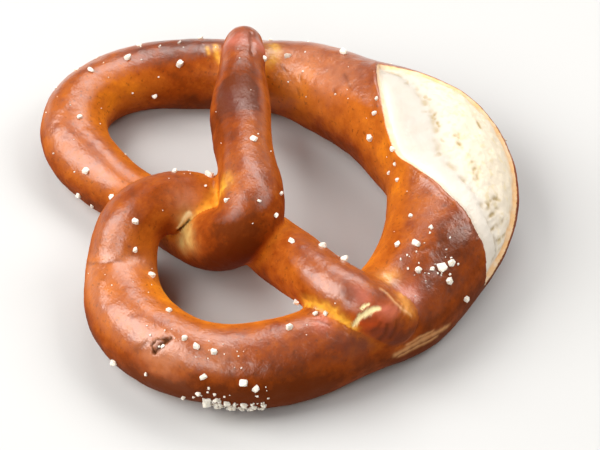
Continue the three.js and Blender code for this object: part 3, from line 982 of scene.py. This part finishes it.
# The paler cream outside the seam: partly the crumb's own tone and partly painted light.
OUTER_CRUMB = (247, 232, 206)
# The pale cream of the painted light on the crumb by its inner lip and near end.
PAINTED_LIGHT_CREAM = (251, 241, 226)
CRUMB_BLOTCH = (232, 212, 160)
# Olive for the seam's pits and the scratches: partly the crumb's own colour and partly painted shade.
GROOVE = (164, 136, 72)
RIM = (250, 202, 144)
SALT_SHADE = (240, 226, 200)


class Nodes:
    """Short ways to add and join shader nodes in one new material."""

    def __init__(self, name):
        self.material = bpy.data.materials.new(name)
        self.material.use_nodes = True
        self.tree = self.material.node_tree
        self.tree.nodes.clear()

    def add(self, kind, **settings):
        node = self.tree.nodes.new(kind)
        for name, value in settings.items():
            setattr(node, name, value)
        return node

    def feed(self, target, value):
        """Joins a socket to the target, or sets the target to a number or a colour."""
        if isinstance(value, bpy.types.NodeSocket):
            self.tree.links.new(value, target)
        elif target.type == "RGBA":
            target.default_value = (*value, 1.0)
        else:
            target.default_value = value

    def fed(self, node, **inputs):
        """The node with these inputs fed; an underscore in a name stands for a space."""
        for name, value in inputs.items():
            self.feed(node.inputs[name.replace("_", " ")], value)
        return node

    def attribute(self, name):
        return self.add("ShaderNodeAttribute", attribute_name=name).outputs["Fac"]

    def math(self, operation, *values):
        node = self.add("ShaderNodeMath", operation=operation)
        for socket, value in zip(node.inputs, values):
            self.feed(socket, value)
        return node.outputs[0]

    def ramp(self, value, low, high, to_low=0.0, to_high=1.0):
        """Smoothly from one value to another as the input goes from low to high."""
        node = self.add("ShaderNodeMapRange", interpolation_type="SMOOTHSTEP")
        self.fed(node, Value=value, From_Min=low, From_Max=high, To_Min=to_low, To_Max=to_high)
        return node.outputs["Result"]

    def mix(self, share, first, second):
        """A share of the second colour over the first."""
        node = self.add("ShaderNodeMix", data_type="RGBA")
        for place, value in ((0, share), (6, first), (7, second)):
            self.feed(node.inputs[place], value)
        return node.outputs[2]

    def colour_ramp(self, value, stops):
        node = self.add("ShaderNodeValToRGB")
        elements = node.color_ramp.elements
        while len(elements) < len(stops):
            elements.new(0.5)
        for element, (place, colour) in zip(elements, stops):
            element.position = place
            element.color = (*linear(*colour), 1.0)
        return self.fed(node, Fac=value).outputs["Color"]

    def noise(self, size, detail=2.0, roughness=0.5):
        """Noise with features of about this size in millimetres, from 0 to 1."""
        node = self.add("ShaderNodeTexNoise")
        self.fed(node, Vector=self.millimetres(), Scale=1 / size, Detail=detail, Roughness=roughness)
        return node.outputs["Fac"]

    def millimetres(self):
        """The piece's own coordinates in millimetres."""
        coordinates = self.add("ShaderNodeTexCoord").outputs["Object"]
        mapping = self.fed(self.add("ShaderNodeMapping"), Vector=coordinates, Scale=(1 / MM,) * 3)
        return mapping.outputs["Vector"]

    def bump(self, height, strength, distance, **normal):
        """A normal bumped by the height, over another one if it is given as Normal."""
        node = self.add("ShaderNodeBump")
        self.fed(node, Height=height, Strength=strength, Distance=distance, **normal)
        return node.outputs["Normal"]

    def finish(self, **inputs):
        """The material, with a shader whose inputs are fed."""
        shader = self.fed(self.add("ShaderNodeBsdfPrincipled"), **inputs)
        self.fed(self.add("ShaderNodeOutputMaterial"), Surface=shader.outputs["BSDF"])
        return self.material


def crust_colour(nodes, mottle):
    """Brown by its bake and painted shade, with freckles, a pale foot, and tints and marks that hold
    painted highlights and shade.
    """
    crust = nodes.colour_ramp(nodes.math("MULTIPLY_ADD", mottle, 0.68, nodes.attribute("bake_and_shade")), BROWNING)
    freckles = nodes.ramp(nodes.noise(1.3), 0.60, 0.72, 0.0, 0.45)
    crust = nodes.mix(freckles, crust, linear(*FRECKLE))
    foot = nodes.ramp(nodes.attribute("rise_mm"), 0.2, 1.6, 0.8, 0.0)
    crust = nodes.mix(foot, crust, linear(*FOOT))
    layers = [(name, share, colour) for name, (colour, share, _) in TINTS.items()]
    layers += [(name, share, colour) for name, (share, colour) in STROKE_COLOURS.items()]
    for name, share, colour in layers:
        mark = nodes.math("MULTIPLY", nodes.attribute(name), share)
        crust = nodes.mix(mark, crust, linear(*colour))
    return crust


def crumb_colour(nodes, split):
    """Cream, paler outside the seam, brightened with painted light by the inner lip and at the near end,
    with grooves darkened partly as painted shade, and a golden rim.
    """
    cream = nodes.mix(nodes.noise(6.0, detail=4.0), linear(*CRUMB), linear(*CRUMB_SHADE))
    # Outside the seam the crumb is paler: partly its own cream tone and partly painted light.
    outer = nodes.ramp(nodes.attribute("seam_mm"), -5.0, 1.0, 0.85, 0.0)
    cream = nodes.mix(outer, cream, linear(*OUTER_CRUMB))
    # Painted light brightens the crumb by the inner lip and at the near end.
    floury = nodes.math("MULTIPLY", nodes.attribute("floury"), 0.75)
    cream = nodes.mix(floury, cream, linear(*PAINTED_LIGHT_CREAM))
    blotch = nodes.math("MULTIPLY", outer, nodes.ramp(nodes.noise(2.6, detail=3.0), 0.5, 0.7, 0.0, 0.6))
    cream = nodes.mix(blotch, cream, linear(*CRUMB_BLOTCH))
    # The seam's pits and the scratches are darkened: partly the crumb's own colour and partly painted
    # shade in them.
    grooved = nodes.math("MAXIMUM", nodes.attribute("groove"), nodes.attribute("score"))
    cream = nodes.mix(nodes.math("MULTIPLY", grooved, 0.85), cream, linear(*GROOVE))
    rim = nodes.ramp(split, 0.1, 1.1, 0.7, 0.0)
    rim = nodes.math("MAXIMUM", rim, nodes.ramp(nodes.attribute("across"), 0.0, 0.15, 1.0, 0.0))
    rim = nodes.math("MULTIPLY", rim, nodes.ramp(nodes.noise(3.0, detail=3.0), 0.3, 0.65, 0.45, 1.0))
    return nodes.mix(rim, cream, linear(*RIM))


def dough_material(settings):
    """Brown glossy crust, and dull crumb inside the split."""
    nodes = Nodes("baked_dough")
    split = nodes.attribute("split_mm")
    gloss = nodes.attribute("gloss")
    mottle = nodes.math("SUBTRACT", nodes.noise(5.0, detail=6.0, roughness=0.65), 0.5)
    is_crumb = nodes.ramp(split, -0.15, 0.15)
    colour = nodes.mix(is_crumb, crust_colour(nodes, mottle), crumb_colour(nodes, split))

    dull = nodes.ramp(nodes.noise(7.0, detail=5.0), 0.3, 0.7, settings.gloss_low, settings.gloss_high)
    dull = nodes.math("ADD", dull, nodes.ramp(gloss, 0.0, 0.7, 0.35, 0.0))
    rough = nodes.math("MAXIMUM", dull, nodes.math("MULTIPLY", is_crumb, 0.8))
    glaze = nodes.math("MULTIPLY", gloss, nodes.ramp(mottle, -0.2, 0.2, 0.5, 1.0))
    glaze = nodes.math("MINIMUM", nodes.math("MULTIPLY", glaze, 1.25), 1.0)
    glaze = nodes.math("MULTIPLY", glaze, nodes.math("SUBTRACT", 1.0, is_crumb))
    normal = nodes.bump(nodes.noise(4.0, detail=5.0, roughness=0.6), 0.28, 0.0012)
    normal = nodes.bump(nodes.noise(0.9, detail=3.0), 0.45, 0.0002, Normal=normal)
    return nodes.finish(
        Base_Color=colour, Roughness=rough, Normal=normal, Coat_Normal=normal, Coat_Weight=glaze,
        Coat_Roughness=0.3, Coat_IOR=1.8, Specular_IOR_Level=0.55, Specular_Tint=(1.0, 0.46, 0.14),
    )


def salt_material(settings):
    """Cloudy white grains that let a little light through."""
    nodes = Nodes("coarse_salt")
    cloud = nodes.mix(nodes.noise(0.8), settings.salt_colour, linear(*SALT_SHADE))
    return nodes.finish(
        Base_Color=cloud, Roughness=0.3, Normal=nodes.bump(nodes.noise(0.5), 0.3, 0.0001),
        Subsurface_Weight=0.3, Subsurface_Radius=(0.0010, 0.0009, 0.0008), Subsurface_Scale=1.0,
    )


def piece(name, mesh, material, smooth):
    """An object of this one material."""
    obj = bpy.data.objects.new(name, mesh)
    bpy.context.scene.collection.objects.link(obj)
    mesh.materials.clear()
    mesh.materials.append(material)
    mesh.shade_smooth() if smooth else mesh.shade_flat()
    return obj


# ==== Settings ====


class PretzelDoughSettings(bpy.types.PropertyGroup):
    belly: FloatProperty(
        name="Belly", description="Thickness of the belly", default=0.042, unit="LENGTH"
    )
    arm: FloatProperty(
        name="Arm", description="Thickness of the arms", default=0.0192, unit="LENGTH"
    )
    voxel: FloatProperty(
        name="Skin Fineness", description="Size of the skin's faces", default=0.00093, unit="LENGTH"
    )
    gloss_low: FloatProperty(
        name="Gloss", description="Roughness of the shiniest crust", default=0.38, subtype="FACTOR"
    )
    gloss_high: FloatProperty(
        name="Dullness", description="Roughness of the dullest crust", default=0.55, subtype="FACTOR"
    )


class PretzelSaltSettings(bpy.types.PropertyGroup):
    salt_colour: FloatVectorProperty(
        name="Salt", description="Colour of the grains", default=linear(254, 249, 240), subtype="COLOR"
    )


class PretzelStageSettings(bpy.types.PropertyGroup):
    distance: FloatProperty(
        name="Distance", description="From the camera to the pretzel", default=1.12, unit="LENGTH"
    )
    azimuth: FloatProperty(
        name="Azimuth", description="The camera's turn round the pretzel", default=math.radians(-60),
        subtype="ANGLE",
    )
    elevation: FloatProperty(
        name="Elevation", description="The camera's height angle", default=math.radians(47),
        subtype="ANGLE",
    )
    lens: FloatProperty(
        name="Lens", description="Focal length", default=213.4, unit="CAMERA"
    )


# ==== Operators ====

# What the camera aims at, in millimetres, and the pale table, in metres.
AIM = (2.2, -18.8, 13.5)
TABLE_SIZE = 3.0
TABLE_COLOUR = (0.62, 0.61, 0.59)

# The windows: degrees rightwards from the camera and up from the table, distance, width and
# length in metres, and power. The sky adds a little light from all round.
WINDOWS = {
    "window": (105, 46, 1.3, (0.8, 0.7), 8.5),
    "back_window": (168, 48, 1.3, (1.0, 0.6), 8),
    "left_window": (-90, 44, 1.2, (0.9, 1.1), 17),
    "front_window": (-22, 42, 1.3, (0.6, 0.6), 5.5),
}
SKY_COLOUR = (1.0, 0.99, 0.97, 1)
SKY_STRENGTH = 0.09


def way_to(azimuth, elevation):
    """The direction from the pretzel to a place round it."""
    way = Vector((math.sin(azimuth), -math.cos(azimuth), 0)) * math.cos(elevation)
    way.z = math.sin(elevation)
    return way


def look_from(name, data, place, way):
    """A camera or a light at a place, looking back against the way there."""
    obj = bpy.data.objects.new(name, data)
    obj.location = place
    obj.rotation_euler = (-way).to_track_quat("-Z", "Y").to_euler()
    bpy.context.scene.collection.objects.link(obj)
    return obj


def add_table():
    bm = bmesh.new()
    bmesh.ops.create_grid(bm, x_segments=1, y_segments=1, size=TABLE_SIZE)
    material = Nodes("pale_table").finish(Base_Color=TABLE_COLOUR, Roughness=0.7)
    floor = piece("floor", mesh_from(bm, "floor"), material, smooth=False)


def add_camera(settings):
    data = bpy.data.cameras.new("camera")
    data.lens = settings.lens
    data.sensor_width = 36
    data.clip_start = 0.01
    way = way_to(settings.azimuth, settings.elevation)
    place = Vector(AIM) * MM + way * settings.distance
    bpy.context.scene.camera = look_from("camera", data, place, way)


def add_windows(azimuth):
    """Soft lights round the pretzel."""
    for name, (turn, height, distance, size, power) in WINDOWS.items():
        data = bpy.data.lights.new(name, "AREA")
        data.shape = "RECTANGLE"
        data.size, data.size_y = size
        data.energy = power
        way = way_to(azimuth + math.radians(turn), math.radians(height))
        look_from(name, data, way * distance, way)


def add_sky(scene):
    scene.world = bpy.data.worlds.new("studio")
    scene.world.use_nodes = True
    background = scene.world.node_tree.nodes["Background"]
    background.inputs["Color"].default_value = SKY_COLOUR
    background.inputs["Strength"].default_value = SKY_STRENGTH


class PRETZEL_OT_dough(bpy.types.Operator):
    """Make the baked dough with its split belly"""

    bl_idname = "pretzel.dough"
    bl_label = "Baked Dough"

    def execute(self, context):
        settings = context.scene.pretzel_dough
        rope = Rope(settings.belly / MM, settings.arm / MM)
        mesh = fused(rope_mesh(rope), settings.voxel / MM)
        smooth_skin(mesh, rope)
        shape_dough(mesh, rope)
        mesh.name = "baked_dough"
        dough = piece("baked_dough", mesh, dough_material(settings), smooth=True)
        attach(dough, "root")
        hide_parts("pretzel")
        return {"FINISHED"}


class PRETZEL_OT_salt(bpy.types.Operator):
    """Bake the coarse grains of salt into the crust"""

    bl_idname = "pretzel.salt"
    bl_label = "Coarse Salt"

    def execute(self, context):
        settings = context.scene.pretzel_dough
        rope = Rope(settings.belly / MM, settings.arm / MM)
        mesh = salt_mesh(rope, bpy.data.objects["baked_dough"])
        salt = piece("salt_grains", mesh, salt_material(context.scene.pretzel_salt), smooth=False)
        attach(salt, "root")
        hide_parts("pretzel")
        return {"FINISHED"}


class PRETZEL_OT_stage(bpy.types.Operator):
    """Set the floor, the lights and the camera"""

    bl_idname = "pretzel.stage"
    bl_label = "Stage"

    def execute(self, context):
        settings = context.scene.pretzel_stage
        add_table()
        add_camera(settings)
        add_windows(settings.azimuth)
        add_sky(context.scene)
        context.scene.view_settings.view_transform = "Standard"
        return {"FINISHED"}


class PRETZEL_PT_panel(bpy.types.Panel):
    """Lists the pretzel's pieces and sizes"""

    bl_label = "Soft Pretzel"
    bl_idname = "PRETZEL_PT_panel"
    bl_space_type = "VIEW_3D"
    bl_region_type = "UI"
    bl_category = "Pretzel"

    def draw(self, context):
        for operator, group in PIECES:
            box = self.layout.box()
            box.operator(operator.bl_idname)
            settings = getattr(context.scene, group)
            for name in settings.__annotations__:
                box.prop(settings, name)


PIECES = (
    (PRETZEL_OT_dough, "pretzel_dough"),
    (PRETZEL_OT_salt, "pretzel_salt"),
    (PRETZEL_OT_stage, "pretzel_stage"),
)
GROUPS = {
    "pretzel_dough": PretzelDoughSettings,
    "pretzel_salt": PretzelSaltSettings,
    "pretzel_stage": PretzelStageSettings,
}


def register():
    for name, group in GROUPS.items():
        bpy.utils.register_class(group)
        setattr(bpy.types.Scene, name, PointerProperty(type=group))
    for operator, _ in PIECES:
        bpy.utils.register_class(operator)
    bpy.utils.register_class(PRETZEL_PT_panel)


def unregister():
    bpy.utils.unregister_class(PRETZEL_PT_panel)
    for operator, _ in PIECES:
        bpy.utils.unregister_class(operator)
    for name, group in GROUPS.items():
        delattr(bpy.types.Scene, name)
        bpy.utils.unregister_class(group)


def main():
    register()
    bpy.ops.pretzel.stage()
    bpy.ops.pretzel.dough()
    bpy.ops.pretzel.salt()


if __name__ == "__main__":
    main()
